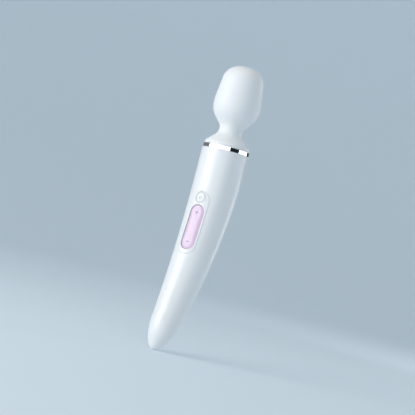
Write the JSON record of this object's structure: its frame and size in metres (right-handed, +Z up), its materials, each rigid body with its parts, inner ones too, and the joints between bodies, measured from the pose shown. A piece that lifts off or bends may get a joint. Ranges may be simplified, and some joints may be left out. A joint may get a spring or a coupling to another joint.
{
  "type": "handheld wand massager",
  "caption": "Cordless handheld massager with a curved tapered handle, a plus/minus rocker and power button, a sprung bending neck and a vibrating silicone head.",
  "frame": {"origin": "middle of the footprint, level with the lowest point of the handle's rounded end", "axes": "+Z up the axis of the head and neck; the control panel faces -Y; +X is to the right when the panel is seen from the front. The handle bends forward, to -Y, towards its lower end."},
  "size_m": [0.0546, 0.0826, 0.3369],
  "materials": {
    "shell": "smooth satin-gloss white ABS",
    "silicone": "matte white silicone",
    "chrome_trim": "polished chrome plate",
    "rocker": "semi-gloss pale lilac, two soft end marks",
    "inner_plastic": "moulded nylon",
    "brush_cover": "moulded nylon, black",
    "seal_rubber": "soft matte rubber",
    "key_rubber": "translucent-looking silicone keypad",
    "carbon": "carbon",
    "pin_steel": "ground steel",
    "spring_steel": "drawn spring wire",
    "screw_steel": "zinc plated",
    "circuit_board": "green solder mask",
    "chips": "moulded epoxy",
    "contact_gold": "gold plated",
    "led": "clear lens",
    "cell_sleeve": "blue shrink sleeve",
    "nickel": "nickel strip",
    "wire": "insulated wire",
    "magnet": "nickel plated magnet",
    "can_steel": "drawn zinc plated steel",
    "bush_bronze": "sintered bronze",
    "core": "laminated core",
    "copper": "copper segments",
    "weight_steel": "sintered steel"
  },
  "bodies": {
    "handle": {"front_shell": "shell", "rear_shell": "shell", "seam_seal": "seal_rubber", "trim_ring": "chrome_trim", "neck_socket": "inner_plastic", "collar_seal": "seal_rubber", "lower_neck_pin": "pin_steel", "neck_spring": "spring_steel", "neck_boot": "silicone", "panel_bezel": "shell", "key_mat": "key_rubber", "rocker_pin": "pin_steel", "control_board": "circuit_board", "board_parts": "chips", "contact_pads": "contact_gold", "indicator_led": "led", "board_screws": "screw_steel", "battery_cradle": "inner_plastic", "cradle_screws": "screw_steel", "battery_cell_upper": "cell_sleeve", "battery_cell_lower": "cell_sleeve", "battery_tabs": "nickel", "battery_pads": "seal_rubber", "battery_leads": "wire", "charge_plate": "shell", "charge_pins": "contact_gold", "charge_magnets": "magnet", "charge_board": "circuit_board", "charge_leads": "wire", "motor_leads": "wire"},
    "neck_link": {"neck_link": "inner_plastic"},
    "head": {"upper_neck_pin": "pin_steel", "head_cover": "silicone", "capsule_base": "inner_plastic", "capsule_cap": "inner_plastic", "capsule_seal": "seal_rubber", "capsule_screws": "screw_steel", "motor_can": "can_steel", "motor_end_cap": "brush_cover", "motor_bushes": "bush_bronze", "motor_magnets": "magnet", "motor_brushes": "carbon", "motor_plate": "can_steel", "motor_screws": "screw_steel", "motor_damper": "seal_rubber"},
    "rotor": {"motor_shaft": "pin_steel", "armature": "core", "commutator": "copper", "eccentric_weight": "weight_steel"},
    "power_button": {"power_button": "shell", "power_contact": "carbon"},
    "rocker": {"intensity_rocker": "rocker", "rocker_contacts": "carbon"}
  },
  "joints": [
    {"name": "neck_bend", "type": "hinge", "parent": "handle", "child": "neck_link", "pos_m": [0, 0.01396, 0.25389], "axis": [1, 0, 0], "range_deg": [-15, 15], "stiffness_Nm_per_rad": 8, "deforming": ["neck_boot", "neck_spring", "motor_leads"]},
    {"name": "neck_sway", "type": "hinge", "parent": "neck_link", "child": "head", "pos_m": [0, 0.01396, 0.26939], "axis": [0, 1, 0], "range_deg": [-15, 15], "stiffness_Nm_per_rad": 8, "deforming": ["neck_boot", "neck_spring", "motor_leads"]},
    {"name": "rotor_spin", "type": "hinge", "parent": "head", "child": "rotor", "pos_m": [0, 0.01396, 0.296], "axis": [0, 0, 1], "continuous": true},
    {"name": "power_press", "type": "slide", "parent": "handle", "child": "power_button", "axis": [0, 0.9882, -0.1529], "range_m": [0, 0.0005], "stiffness_N_per_m": 2000, "springref_m": -0.0005, "deforming": ["key_mat"]},
    {"name": "rocker_tilt", "type": "hinge", "parent": "handle", "child": "rocker", "pos_m": [0, -0.01351, 0.1425], "axis": [1, 0, 0], "range_deg": [-1.2, 1.2], "stiffness_Nm_per_rad": 2, "deforming": ["key_mat"]}
  ]
}
